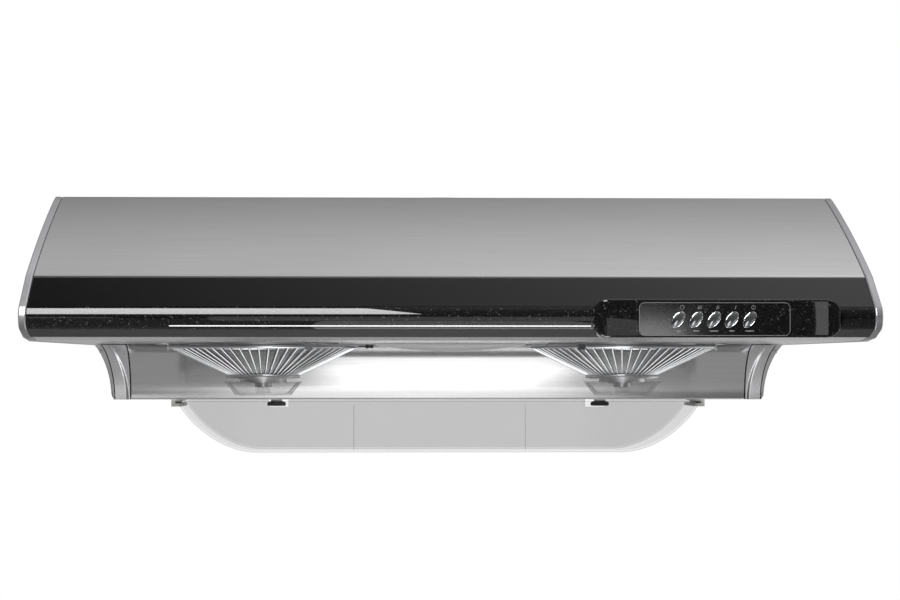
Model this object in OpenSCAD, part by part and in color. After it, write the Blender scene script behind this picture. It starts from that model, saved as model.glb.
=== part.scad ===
/* [Canopy] */
// Overall width across the two end caps
hood_w = 750; // [740:10:900]
// Depth from the wall to the nose of the front bumper
hood_d = 545; // [540:5:580]
// Height of the canopy, from its flat underside to its top
canopy_h = 140; // [138:1:150]
// Thickness of each end cap
cap_t = 7; // [6:0.5:10]
// How far the end caps stand proud of the front cover
cap_proud = 0.8; // [0:0.1:1.5]
// Steel sheet thickness
sheet = 1; // [0.8:0.1:1.2]
// Outward bow of the curved front cover
cover_bow = 3.5; // [2:0.5:6]

/* [Underbody] */
// Drop of the rear underbody below the canopy
drop = 58; // [54:1:62]
// Half width of the curved steel rear wall
wall_half_w = 325; // [310:1:330]

/* [Controls] */
// Distance of the control pod's centre from the middle of the hood
pod_x = 231; // [150:0.5:240]
// Length of the control pod
pod_w = 218; // [200:1:230]
// How far the pod's face stands in front of the bumper
pod_proud = 8; // [7:0.5:10]
// Distance between neighbouring buttons
button_pitch = 15.5; // [15:0.5:18]
// Half width of a button
button_a = 4; // [3.5:0.1:4.2]
// Half height of a button
button_b = 6.8; // [6:0.1:7]
// Lean of the oval buttons to the right
button_lean = 30; // [0:1:35]
// Travel of a button
button_travel = 3; // [2:0.5:3]

/* [Blowers] */
// Distance of each blower from the middle of the hood
blower_x = 178.5; // [170:0.5:200]
// Distance of the blower axis behind the nose of the bumper
blower_from_nose = 300; // [295:1:310]
// Fan wheel radius
wheel_r = 75; // [65:1:76]
// Number of fan blades
blades = 36; // [24:1:40]
// Motor radius
motor_r = 52; // [45:1:55]
// Motor shaft radius
shaft_r = 4; // [3:0.5:5]

/* [Grilles and cups] */
// Radius of the wire cone at its upper rim
cone_top_r = 93.5; // [90:0.5:95]
// Radius of the wire cone at its lower rim
cone_low_r = 36.5; // [34:0.5:40]
// Depth of the wire cone
cone_h = 28; // [24:1:32]
// Number of wires in each cone
wires = 60; // [36:1:60]
// Radius of a wire
wire_r = 1.1; // [0.8:0.1:1.2]

/* [Oil tray] */
// Half length of the tray
tray_half_w = 271; // [250:1:275]
// Depth of the tray below the underbody
tray_h = 55; // [45:1:60]
// Length of the tray's curved ends
tray_end = 81; // [60:1:90]

/* [Outlet] */
// Outer radius of the duct spigot
duct_r = 75; // [60:0.5:75]
// Height of the spigot above the top of the hood
duct_rise = 9; // [9:0.5:30]

/* [Hidden] */
$fn = 64;

tiny = 0.05;
fit = 0.3;
steel = [0.64, 0.65, 0.66];
dark = [0.12, 0.12, 0.13];
black = [0.05, 0.05, 0.055];
silver = [0.74, 0.75, 0.76];
chrome = [0.86, 0.87, 0.88];
clear = [0.86, 0.88, 0.9, 0.5];

// The frame: X to the right, Y to the wall, Z up, with the origin in the middle
// of the four screw holes in the top.
hole_span_x = 600;
hole_span_y = 220;
hole_r = 4;
y_back = 155;
y_nose = y_back - hood_d;
z_low = -canopy_h;
z_bot = z_low - drop;
x_cap = hood_w / 2;
x_in = x_cap - cap_t;
blower_y = y_nose + blower_from_nose;

// Side view of the canopy, measured back from the nose and up from the underside.
function at(back, up) = [y_nose + back, z_low + up];
function arc(c, r, from, to, n) =
    [for (i = [0 : n]) c + r * [cos(from + (to - from) * i / n), sin(from + (to - from) * i / n)]];
function unit(v) = v / norm(v);
function left_of(v) = [-v[1], v[0]];
function reversed(list) = [for (i = [len(list) - 1 : -1 : 0]) list[i]];
// A point moved by d along the mitre of its two edges, to the left of the path.
function mitred(a, p, b, d) =
    let (u = unit(p - a), v = unit(b - p), n = unit(left_of(u) + left_of(v)))
    p + n * d / (n * left_of(u));
function shifted_loop(pts, d) =
    let (n = len(pts)) [for (i = [0 : n - 1]) mitred(pts[(i + n - 1) % n], pts[i], pts[(i + 1) % n], d)];
function shifted_path(pts, d) =
    let (n = len(pts) - 1)
    [for (i = [0 : n])
        i == 0 ? pts[0] + d * left_of(unit(pts[1] - pts[0]))
        : i == n ? pts[n] + d * left_of(unit(pts[n] - pts[n - 1]))
        : mitred(pts[i - 1], pts[i], pts[i + 1], d)];
function band(pts, t) = concat(pts, reversed(shifted_path(pts, t)));

nose_r = 12;
nose_c = at(nose_r, 20);
strip_low = nose_c + nose_r * [cos(134), sin(134)];
strip_top = at(42, 56.8);
cover_top = at(228, canopy_h);
bumper_end = at(28, 2.7);
lip = [bumper_end, at(44, 1.4), at(60, 0)];

// The cover's bow: an arc through its two edges.
cover_chord = norm(cover_top - strip_top);
cover_r = pow(cover_chord / 2, 2) / (2 * cover_bow) + cover_bow / 2;
cover_mid = (cover_top + strip_top) / 2;
cover_c = cover_mid - (cover_r - cover_bow) * left_of(unit(cover_top - strip_top));
function angle_of(v) = atan2(v[1], v[0]);
cover_arc = arc(cover_c, cover_r, angle_of(strip_top - cover_c), angle_of(cover_top - cover_c), 16);
nose_arc = arc(nose_c, nose_r, 134, 253.5, 18);

// Anticlockwise outline of the canopy's side.
outline = concat(nose_arc, [bumper_end, lip[1], lip[2], at(hood_d, 0), at(hood_d, canopy_h)],
                 reversed(cover_arc));

// A shape drawn in the side view, from x0 to x1.
module across(x0, x1) translate([x0, 0, 0]) rotate([90, 0, 90]) linear_extrude(x1 - x0) children();
// A shape drawn in the front view, from y0 to y1.
module along(y0, y1) translate([0, y1, 0]) rotate([90, 0, 0]) linear_extrude(y1 - y0) children();
// A shape drawn in plan, from z0 to z1.
module upright(z0, z1) translate([0, 0, z0]) linear_extrude(z1 - z0) children();
module rect(a, b) translate(a) square(b - a);
module box(a, b) translate(a) cube(b - a);
module mirrored(side) if (side < 0) mirror([1, 0, 0]) children(); else children();
module disc(r, z0, z1) translate([0, 0, z0]) cylinder(r = r, h = z1 - z0);
module tube(r_out, r_in, z0, z1) difference() {
    disc(r_out, z0, z1);
    disc(r_in, z0 - 1, z1 + 1);
}
module rod(a, b, r) {
    v = b - a;
    translate(a) rotate([0, acos(v[2] / norm(v)), atan2(v[1], v[0])]) cylinder(r = r, h = norm(v));
}
module oval(a, b) polygon([for (i = [0 : 31]) [a * cos(i * 11.25), b * sin(i * 11.25)]]);
module rounded(a, b, r) {
    rect(a + [r, 0], b - [r, 0]);
    rect(a + [0, r], b - [0, r]);
    for (x = [a[0] + r, b[0] - r], y = [a[1] + r, b[1] - r]) translate([x, y]) circle(r);
}

// ---- Canopy shell ----
roof_from = cover_top[0] + 20;
outlet_y = 35;
module mount_holes() for (x = [-1, 1], y = [-1, 1])
    translate([x * hole_span_x / 2, y * hole_span_y / 2, -sheet - 1]) cylinder(r = hole_r, h = sheet + 2);
module top_panel() color(steel) difference() {
    box([-x_in, roof_from + 0.4, -sheet], [x_in, y_back, 0]);
    mount_holes();
    translate([0, outlet_y, -sheet - 1]) cylinder(r = duct_r + 1, h = sheet + 2);
    collar_screw_places() disc(screw_r, -sheet - 3, -1);
}
bead_r = 1.6;
module front_cover() color(steel) across(-x_in, x_in) {
    polygon(band(concat(cover_arc, [[roof_from, 0]]), -sheet));
    polygon(arc(strip_top - left_of(unit(cover_arc[1] - cover_arc[0])), bead_r, 0, 345, 23));
}
grommet_at = [280, -95];
grommet_r = 11;
module back_panel() color(steel) difference() {
    along(y_back - sheet, y_back) {
        rect([-x_in + sheet + 0.1, z_low + sheet], [x_in - sheet - 0.1, -sheet]);
        for (side = [0, 1]) mirror([side, 0]) {
            rect([0, z_low - 1], [flare_x, z_low + sheet + 1]);
            intersection() {
                inside_arc(flare_x, flare_r);
                rect([0, z_bot + sheet + 0.1], [x_in, z_low]);
            }
        }
    }
    translate([grommet_at[0], y_back - sheet - 1, grommet_at[1]]) rotate([-90, 0, 0])
        cylinder(r = grommet_r, h = sheet + 2);
}
cap_screw_at = [at(120, 30), at(330, 70), at(500, 70)];
module side_panel(side) color(steel) mirrored(side) difference() {
    across(x_in - sheet, x_in) intersection() {
        polygon(shifted_loop(outline, sheet + 0.1));
        rect(lip[2], at(hood_d, canopy_h));
    }
    cap_screw_places() disc(screw_r, -sheet - 1, 1);
}
module end_cap(side) color(silver) mirrored(side) difference() {
    across(x_in, x_cap) cap_outline();
    across(x_in - 1, x_cap - 3) polygon(shifted_loop(outline, 3));
}
module cap_outline() intersection() {
    polygon(shifted_loop(outline, -cap_proud));
    rect([y_nose - 5, z_low - cap_proud], [y_back, 0]);
}
module cap_screw_places() for (p = cap_screw_at) translate([x_in, p[0], p[1]]) rotate([0, -90, 0])
    mirror([0, 0, 1]) children();

// ---- Underbody ----
// The rear wall and its fairings share one concave quarter round.
cove_c = at(hood_d - 153, -drop);
cove_front = cove_c[0] + drop;
wall_t = 2;
module cove_sheet(r, t) intersection() {
    difference() {
        translate(cove_c) circle(r + t, $fn = 96);
        translate(cove_c) circle(r, $fn = 96);
    }
    rect(cove_c, cove_c + [r + t, drop + sheet]);
}
lamp_x = 6.5;
lamp_y = y_nose + 300;
lamp_half_w = 75;
lamp_half_d = 20;
// A box round the middle of the lamp, from its half width and half depth.
module lamp_box(half_w, half_d, z0, z1)
    box([lamp_x - half_w, lamp_y - half_d, z0], [lamp_x + half_w, lamp_y + half_d, z1]);
module lower_shell() color(steel) difference() {
    union() {
        across(-x_in + sheet + 0.1, x_in - sheet - 0.1) {
            polygon(band([lip[0] + [0.3, 0], lip[1], lip[2]], sheet));
            rect(lip[2] - [tiny, 0], [y_back - sheet - 0.1, z_low + sheet]);
        }
        across(-wall_half_w, wall_half_w) difference() {
            cove_sheet(drop, sheet);
            rect([cove_c[0], z_bot - 1], [y_back, z_bot + sheet]);
        }
    }
    box([-wall_half_w + 5, cove_c[0] + 2, z_low - tiny], [wall_half_w - 5, y_back, z_low + sheet + 1]);
    for (x = [-blower_x, blower_x]) translate([x, blower_y, 0]) disc(inlet_r + 3, z_low - 1, z_low + 2);
    lamp_box(lamp_half_w - 6, lamp_half_d - 5, z_low - 1, z_low + 2);
}
spout_x = 172.6;
spout_y = y_nose + 470;
spout_r = 6;
module bottom_pan() color(steel) difference() {
    across(-wall_half_w + 0.4, wall_half_w - 0.4) {
        rect([cove_front - 1.7, z_bot], [y_back, z_bot + sheet]);
        rect([cove_front - 1.7, z_bot], [cove_front - 0.3, z_bot + 3]);
    }
    for (x = [-spout_x, spout_x]) translate([x, spout_y, 0]) disc(spout_r + 0.1, z_bot - 1, z_bot + 2);
}
// The underbody's flared side, as arcs that stand upright at the bottom edge.
flare_r = 136;
flare_x = wall_half_w + 21;
seam_r = 191;
seam_x = wall_half_w + 17;
module inside_arc(x, r) difference() {
    rect([0, z_bot], [x + r, z_low - tiny]);
    translate([x + r, z_bot]) circle(r, $fn = 180);
}
module behind_cove() difference() {
    rect([cove_c[0] + 8, z_bot], [y_back - sheet - 0.1, z_low]);
    translate(cove_c) circle(drop, $fn = 96);
}
module side_fairing(side) color(silver) mirrored(side) intersection() {
    across(wall_half_w + 0.4, x_in) difference() {
        behind_cove();
        difference() {
            rect([cove_c[0] - 1, z_bot + wall_t], [y_back, z_low + 1]);
            translate(cove_c) circle(drop + wall_t, $fn = 96);
        }
    }
    along(y_nose, y_back) inside_arc(seam_x, seam_r);
}
module corner_trim(side) color(silver) mirrored(side) difference() {
    intersection() {
        across(wall_half_w, x_in) behind_cove();
        along(y_nose, y_back) difference() {
            inside_arc(flare_x, flare_r);
            inside_arc(seam_x + 0.4, seam_r);
        }
    }
    trim_screw_place() disc(screw_r, -6, 1);
}

// ---- Front strip and bumper ----
module fascia_strip() color(dark) across(-x_in + 0.2, x_in - 0.2) {
    u = unit(strip_top - strip_low);
    polygon(band([strip_low + 0.6 * u, strip_top - 3 * u], -3));
}
module front_bumper() color(black) difference() {
    across(-x_in + 0.2, x_in - 0.2) polygon(band(concat(nose_arc, [bumper_end]), 2.5));
    box([switch_x[0], y_nose - 2, pod_z - 8], [switch_x[1], y_nose + 14, pod_z + 8]);
}

// ---- Control pod ----
pod_low = z_low + 2;
pod_top = z_low + 35.4;
pod_z = z_low + 17.4;
pod_face = y_nose - pod_proud;
pod_from = pod_x - pod_w / 2;
pod_to = pod_x + pod_w / 2;
first_button = pod_x - 36.5;
button_xs = [for (i = [0 : 4]) first_button + i * button_pitch];
switch_x = [first_button - 9, first_button + 4 * button_pitch + 9];
bezel_w = 0.9;
module pod_shape(t) intersection() {
    along(pod_face + t, y_nose + 26) rounded_pod(t);
    upright(pod_low, pod_top) rounded_plan(t);
}
// The pod's outline from the front, with a tighter left end and a full right end.
module rounded_pod(t) {
    rect([pod_from + 10, pod_low + t], [pod_to - 17, pod_top - t]);
    rect([pod_from + t, pod_low + 10], [pod_from + 11, pod_top - 10]);
    for (z = [pod_low + 10, pod_top - 10]) translate([pod_from + 10, z]) circle(10 - t);
    translate([pod_to - 16.7, (pod_low + pod_top) / 2]) circle(16.7 - t);
}
// The pod's plan, with its two front corners rounded.
module rounded_plan(t) {
    rect([pod_from + 13, pod_face + t], [pod_to - 13, y_nose + 26]);
    rect([pod_from + t, pod_face + 13], [pod_to - t, y_nose + 26]);
    for (x = [pod_from + 13, pod_to - 13]) translate([x, pod_face + 13]) circle(13 - t);
}
module button_places() for (x = button_xs) translate([x, 0, pod_z]) children();
module oval_along(a, b, y0, y1) along(y0, y1) rotate(-button_lean) oval(a, b);
module control_pod() color(black) difference() {
    pod_shape(0);
    pod_shape(2.5);
    across(pod_from - 1, pod_to + 1) polygon(outline);
    button_places() oval_along(button_a + fit, button_b + fit, pod_face - 1, pod_face + 4);
}
overlay_t = 0.4;
module control_overlay() color(dark) difference() {
    along(pod_face - overlay_t, pod_face)
        rounded([pod_x - 70.5, z_low + 3.5], [pod_x + 61, z_low + 32.4], 5);
    button_places() oval_along(button_a + fit + bezel_w + 0.1, button_b + fit + bezel_w + 0.1,
                               pod_face - 2, pod_face + 1);
}
module button_bezels() color(chrome) button_places() difference() {
    oval_along(button_a + fit + bezel_w, button_b + fit + bezel_w, pod_face - 1.6, pod_face);
    oval_along(button_a + fit, button_b + fit, pod_face - 2, pod_face + 1);
}
module button(i) color(chrome) translate([button_xs[i], 0, pod_z]) {
    oval_along(button_a, button_b, pod_face - 2.2, pod_face + 3);
    oval_along(button_a - 0.8, button_b - 0.9, pod_face - 2.8, pod_face - 2);
    oval_along(button_a + 1.4, button_b + 1.2, pod_face + 2.5 + fit, pod_face + 4.3);
    box([-2, pod_face + 4, -2], [2, switch_y + 4, 2]);
}
switch_y = y_nose + 14;
module switch_block() color([0.88, 0.88, 0.85]) difference() {
    union() {
        box([switch_x[0], switch_y, pod_z - 7.5], [switch_x[1], switch_y + 24, pod_z + 9]);
        box([switch_x[0] - 8, switch_y + 10, pod_z - 7.5], [switch_x[1] + 8, switch_y + 12, pod_z + 9]);
    }
    button_places() box([-2 - fit, switch_y - 1, -2 - fit], [2 + fit, switch_y + 5 + button_travel, 2 + fit]);
}

// ---- Blowers ----
inlet_r = 62;
house_z0 = z_low + sheet;
house_z1 = z_low + 78;
house_t = 1.5;
scroll_r0 = 82;
scroll_r1 = 125;
duct_w = 70;
house_end = 81;
wheel_z0 = z_low + 8;
wheel_z1 = wheel_z0 + 60;
motor_z0 = house_z1 + 3;
motor_z1 = motor_z0 + 42;
module blower_place(side) mirrored(side) translate([blower_x, blower_y, 0]) children();
// A scroll that widens anticlockwise, and leaves towards the middle of the hood.
module scroll(t) {
    polygon([for (a = [120 : 6 : 450])
        (scroll_r0 - t + (scroll_r1 - scroll_r0) * (a - 120) / 330) * [cos(a), sin(a)]]);
    rect([house_end - blower_x - (t > 0 ? 1 : 0), scroll_r1 - duct_w + t], [0, scroll_r1 - t]);
}
module blower_housing(side) color(steel) blower_place(side) difference() {
    upright(house_z0, house_z1) scroll(0);
    upright(house_z0 + house_t, house_z1 - house_t) scroll(house_t);
    disc(inlet_r + 3, house_z0 - 1, house_z0 + 3);
    disc(20, house_z1 - 3, house_z1 + 1);
    motor_screw_places() disc(screw_r, -6, 1);
}
module impeller(side) color([0.2, 0.2, 0.22]) blower_place(side) {
    difference() {
        union() {
            tube(wheel_r, wheel_r - 12, wheel_z0, wheel_z0 + 3);
            disc(wheel_r, wheel_z1 - 2, wheel_z1);
            disc(12, wheel_z1 - 26, wheel_z1 - 1);
            for (i = [0 : blades - 1]) rotate(i * 360 / blades) upright(wheel_z0 + 1, wheel_z1 - 1)
                translate([wheel_r - 6.5, 0]) rotate(30) square([10, 1], center = true);
        }
        disc(shaft_r, wheel_z1 - 30, wheel_z1 + 1);
    }
}
module shaft(side) color(chrome) blower_place(side) disc(shaft_r, wheel_z1 - 26, motor_z1 - 6);
module motor(side) color([0.35, 0.36, 0.38]) blower_place(side) difference() {
    union() {
        disc(motor_r, motor_z0, motor_z1 - 8);
        disc(motor_r - 8, motor_z1 - 9, motor_z1);
        disc(18, motor_z0 - 3, motor_z0 + 1);
    }
    disc(shaft_r + 0.05, motor_z0 - 4, motor_z1 - 5);
}
motor_screw_r = 60;
module motor_screw_places() for (a = [30, 150, 270]) rotate(a) translate([motor_screw_r, 0, house_z1 + 2])
    children();
module motor_bracket(side) color(steel) blower_place(side) difference() {
    union() {
        tube(motor_r + 2, 18.2, house_z1, house_z1 + 3);
        for (a = [30, 150, 270]) rotate(a)
            box([motor_r - 6, -8, house_z1], [motor_screw_r + 8, 8, house_z1 + 2]);
    }
    motor_screw_places() disc(screw_r, -3, 1);
    disc(18.2, house_z1 - 1, house_z1 + 5);
}
module inlet_ring(side) color(steel) blower_place(side) difference() {
    union() {
        tube(inlet_r + 2.8, inlet_r, z_low - 0.5, house_z0 + 4);
        tube(inlet_r + 12, inlet_r, z_low - 1.5, z_low);
    }
    disc(inlet_r, z_low - 3, house_z0 + 6);
}

// ---- Outlet ----
box_half = 80;
box_y = [outlet_y - 80, outlet_y + 80];
duct_y = [blower_y + scroll_r1 - duct_w, blower_y + scroll_r1];
module exhaust_box() color(steel) difference() {
    box([-box_half, box_y[0], house_z0], [box_half, box_y[1], -sheet]);
    box([-box_half + sheet, box_y[0] + sheet, house_z0 + sheet], [box_half - sheet, box_y[1] - sheet, 1]);
    box([-box_half - 1, duct_y[0] + 2, house_z0 + 3], [box_half + 1, duct_y[1] - 2, house_z1 - 2]);
}
flap_z = -55;
flap_r = duct_r - 9;
spindle_r = 2;
module collar_screw_places() for (a = [45 : 90 : 315])
    translate([0, outlet_y, 2]) rotate(a) translate([duct_r + 8, 0, 0]) children();
module outlet_collar() color(silver) difference() {
    translate([0, outlet_y, 0]) union() {
        tube(duct_r, duct_r - 1.5, flap_z - 6, duct_rise);
        tube(duct_r + 14, duct_r - 1, 0, 2);
        difference() {
            tube(duct_r - 1, flap_r - 5, flap_z - 5.5, flap_z - 3.5);
            box([-5, -duct_r, flap_z - 6], [5, duct_r, flap_z]);
        }
    }
    translate([0, outlet_y - duct_r - 1, flap_z]) rotate([-90, 0, 0])
        cylinder(r = spindle_r, h = 2 * duct_r + 2);
    collar_screw_places() disc(screw_r, -4, 1);
}
module damper_spindle() color(chrome) translate([0, outlet_y - duct_r + 0.4, flap_z]) rotate([-90, 0, 0])
    cylinder(r = spindle_r, h = 2 * duct_r - 0.8);
// Each flap is a half disc with its own knuckles round the spindle.
module damper_flap(side) color(silver) translate([0, outlet_y, 0]) difference() {
    union() {
        intersection() {
            disc(flap_r, flap_z - 3, flap_z - 1.5);
            mirrored(side) box([4, -duct_r, flap_z - 4], [duct_r, duct_r, flap_z]);
        }
        for (i = [0 : 2]) translate([0, side * 6 + (i - 1) * 40 - 5, flap_z]) {
            rotate([-90, 0, 0]) cylinder(r = spindle_r + 1.6, h = 10);
            mirrored(side) box([0, 0, -3], [8, 10, -1.5]);
        }
    }
    translate([0, -duct_r, flap_z]) rotate([-90, 0, 0]) cylinder(r = spindle_r + 0.05, h = 2 * duct_r);
}

// ---- Cone grilles and oil cups ----
cone_z = z_low - 3;
ring_h = 4;
module grille(side) color(chrome) blower_place(side) {
    for (i = [0 : wires - 1]) rotate(i * 360 / wires)
        rod([cone_top_r - 1.6, 0, cone_z - 2], [cone_low_r - 1.2, 0, cone_z - cone_h], wire_r);
    tube(cone_top_r, cone_top_r - 2.2, cone_z - ring_h, cone_z);
    tube(cone_low_r + 0.5, cone_low_r - 2.5, cone_z - cone_h - 2, cone_z - cone_h + 2);
}
plate_z = cone_z - cone_h - 2;
module grille_plate(side) color(chrome) blower_place(side) difference() {
    union() {
        disc(cone_low_r - 4, plate_z - 2, plate_z);
        disc(23.5, plate_z - 5.5, plate_z - 1.9);
        disc(14, plate_z - 6.5, plate_z - 5.4);
        disc(8.5, plate_z - 10.5, plate_z - 6.4);
        tube(cone_low_r + 0.5, cone_low_r - 6, plate_z - 1.5, plate_z);
    }
    disc(4.3, plate_z - 12, plate_z - 2);
}
cup_top_r = 38;
cup_low_r = 28.2;
cup_z1 = plate_z - 5;
cup_z0 = cup_z1 - 13.5;
cup_t = 2;
module oil_cup(side) color(clear) blower_place(side) {
    rotate_extrude($fn = 96) polygon([
        [0, cup_z0], [cup_low_r, cup_z0], [cup_top_r - 0.6, cup_z1 - 1.5], [cup_top_r, cup_z1 - 1.5],
        [cup_top_r, cup_z1], [cup_top_r - cup_t - 1, cup_z1], [cup_low_r - cup_t, cup_z0 + cup_t],
        [6.5, cup_z0 + cup_t], [6.5, plate_z - 11], [4, plate_z - 11], [4, plate_z - 4], [0, plate_z - 4]
    ]);
}
module clip_places() for (side = [-1, 1]) blower_place(side) for (a = [0, 120, 240]) rotate(a) children();
module grille_clips() color(chrome) {
    clip_places() {
        box([cone_top_r + fit, -4, z_low - 7], [cone_top_r + 1.3, 4, z_low]);
        box([cone_top_r + 0.6, -4, z_low - 1.2], [cone_top_r + 12, 4, z_low]);
    }
    catch_place() {
        cylinder(r = 0.6, h = 15);
        translate([0, 0, 7]) cylinder(r = 1.8, h = 3.9);
        translate([0, 0, 11.4]) cylinder(r = 1.7, h = 3.7);
        box([-3.3, -0.6, 8.5], [0, 0.6, 9.5]);
    }
}
// A small catch beside the left cone, on a thin rod.
module catch_place() translate([-blower_x + cone_top_r + 1, blower_y, z_low - 3.3]) rotate([0, 90, 0])
    children();

// ---- Lamp ----
// The lens is a shallow dome on a low upright rim.
lens_drop = 8;
lens_bulge = 5.6;
lens_r_x = (pow(lamp_half_w, 2) + pow(lens_bulge, 2)) / (2 * lens_bulge);
lens_r_y = (pow(lamp_half_d, 2) + pow(lens_bulge, 2)) / (2 * lens_bulge);
module lens_solid(t) intersection() {
    along(lamp_y - lamp_half_d + t, lamp_y + lamp_half_d - t) intersection() {
        translate([lamp_x, z_low - lens_drop + lens_r_x]) circle(lens_r_x - t, $fn = 180);
        rect([lamp_x - lamp_half_w, z_low - lens_drop], [lamp_x + lamp_half_w, z_low]);
    }
    across(lamp_x - lamp_half_w + t, lamp_x + lamp_half_w - t) intersection() {
        translate([lamp_y, z_low - lens_drop + lens_r_y]) circle(lens_r_y - t, $fn = 96);
        rect([lamp_y - lamp_half_d, z_low - lens_drop], [lamp_y + lamp_half_d, z_low]);
    }
}
module lamp_lens() color([0.93, 0.93, 0.93]) difference() {
    lens_solid(0);
    translate([0, 0, tiny]) lens_solid(1.8);
}
lamp_top = z_low + 34;
module lamp_housing() color(silver) difference() {
    lamp_box(lamp_half_w, lamp_half_d + 2, z_low + sheet, lamp_top);
    lamp_box(lamp_half_w - 1, lamp_half_d + 1, z_low, lamp_top - 1);
}
module led_module() color([0.95, 0.95, 0.9]) {
    lamp_box(50, 12, lamp_top - 5, lamp_top - 1);
    for (x = [-44 : 11 : 44]) translate([x, 0, 0]) lamp_box(2, 2, lamp_top - 6.2, lamp_top - 4.9);
}

// ---- Wiring ----
term = [[240, y_back - sheet - 55, -120], [320, y_back - sheet - 0.1, -70]];
module terminal_box() color(silver) difference() {
    box(term[0], term[1]);
    box(term[0] + [2, 2, 2], [term[1][0] - 2, term[1][1] - 2, 0]);
    translate([grommet_at[0], y_back - 8, grommet_at[1]]) rotate([-90, 0, 0])
        cylinder(r = grommet_r + 0.1, h = 10);
}
module terminal_lid() color(silver) {
    box([term[0][0], term[0][1], term[1][2]], [term[1][0], term[1][1], term[1][2] + 1.5]);
    box([term[0][0] + 2.3, term[0][1] + 2.3, term[1][2] - 4],
        [term[1][0] - 2.3, term[0][1] + 4, term[1][2] + 1]);
}
module cable_grommet() color(dark) translate([grommet_at[0], 0, grommet_at[1]]) difference() {
    union() {
        translate([0, y_back - 5.5, 0]) rotate([-90, 0, 0]) cylinder(r = grommet_r, h = 5.5);
        translate([0, y_back - 6, 0]) rotate([-90, 0, 0]) cylinder(r = grommet_r + 3, h = 2.8);
    }
    translate([0, y_back - 8, 0]) rotate([-90, 0, 0]) cylinder(r = 6, h = 10);
}
module capacitors() color(silver) for (x = [-30, 30]) translate([x, y_nose + 90, 0]) {
    disc(16, z_low + sheet, z_low + 62);
    disc(14, z_low + 61.9, z_low + 64);
}
wire_runs = [
    [3.5, [[switch_x[1], y_nose + 32, -123], [switch_x[1] + 20, y_nose + 32, -123],
        [350, y_nose + 60, -128], [350, 118, -128], [350, 126, -100], [term[1][0], 126, -100]]],
    [3, [[term[0][0], 116, -88], [225, 116, -88], [blower_x, 96, -50],
        [blower_x, blower_y + motor_r + 12, -36], [blower_x, blower_y + motor_r, -36]]],
    [3, [[term[0][0], 134, -98], [225, 134, -98], [-blower_x, 134, -50],
        [-blower_x, blower_y + motor_r + 12, -36], [-blower_x, blower_y + motor_r, -36]]],
    [3, [[switch_x[0], y_nose + 32, -123], [switch_x[0] - 20, y_nose + 32, -123],
        [64, lamp_y - lamp_half_d - 24, -120], [64, lamp_y - lamp_half_d - 2, -120]]]
];
module wiring_harness() color(dark) for (run = wire_runs) {
    pts = run[1];
    last = len(pts) - 1;
    for (i = [1 : last]) rod(pts[i - 1], pts[i] + (i < last ? 1 : 0) * unit(pts[i] - pts[i - 1]), run[0]);
}

// ---- Oil tray ----
tray_y = [y_nose + 421, y_nose + 527];
tray_z1 = z_bot - 1;
tray_z0 = z_bot - tray_h;
tray_t = 2;
// Half of the boat-shaped outline, inset by t.
function tray_half(t) = concat(
    [[0, tray_z0 + t]],
    [for (i = [0 : 14]) let (u = i / 14)
        [tray_half_w - t - tray_end * (1 - u), tray_z0 + t + (tray_h - 7) * (1 - pow(1 - u * u, 0.88))]],
    [[tray_half_w - t, tray_z1 + t], [0, tray_z1 + t]]
);
module tray_outline(t) for (side = [0, 1]) mirror([side, 0]) polygon(tray_half(t));
module oil_tray() color(clear) {
    difference() {
        along(tray_y[0], tray_y[1]) tray_outline(0);
        along(tray_y[0] + tray_t, tray_y[1] - tray_t) tray_outline(tray_t);
        box([-tray_half_w - 1, tray_y[1] - tray_t - 1, z_bot - 9], [tray_half_w + 1, tray_y[1] + 1, z_bot]);
        box([-tray_half_w + tray_t, tray_y[0] + tray_t, tray_z1 - 6],
            [tray_half_w - tray_t, tray_y[1] + 1, z_bot]);
    }
    for (x = [-90, 90]) box([x - 1, tray_y[0] + 1, tray_z0 + 1], [x + 1, tray_y[1] - 1, tray_z0 + 24]);
    for (side = [-1, 1]) mirrored(side)
        box([tray_half_w - 1, tray_y[0], z_bot - 4], [tray_half_w + 6, tray_y[1], z_bot - 2]);
}
rail_x = tray_half_w + 12;
module tray_rails() color(silver) for (side = [-1, 1]) mirrored(side) difference() {
    box([tray_half_w + 2, tray_y[0] + 32, z_bot - 7.5], [rail_x, y_back - 4, z_bot]);
    box([tray_half_w + 1, tray_y[0] + 31, z_bot - 4 - fit], [tray_half_w + 8, y_back - 3, z_bot - 2 + fit]);
}
module drain_spouts() color(black) for (x = [-spout_x, spout_x]) translate([x, spout_y, 0]) difference() {
    union() {
        disc(spout_r, z_bot - 4, z_bot + sheet + 4);
        disc(9.8, z_bot - 7, z_bot - 3.5);
        disc(9, z_bot + sheet, z_bot + sheet + 2);
    }
    disc(4, z_bot - 8, z_bot + 8);
}

// ---- Screws ----
screw_r = 1.5;
module screw(length, head_r = 3) {
    disc(head_r, 0, 1.8);
    disc(screw_r, -length, 0.1);
}
module trim_screw_place() translate([seam_x + 10.6, cove_c[0], z_bot]) rotate([61.5, 0, 0])
    translate([0, drop - 0.1, 0]) rotate([90, 0, 0]) children();
module screws() color(chrome) {
    for (side = [-1, 1]) {
        mirrored(side) cap_screw_places() screw(sheet);
        mirrored(side) trim_screw_place() screw(5.5, 2.2);
        blower_place(side) motor_screw_places() screw(3.5);
    }
    collar_screw_places() screw(2 + sheet);
}

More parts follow.
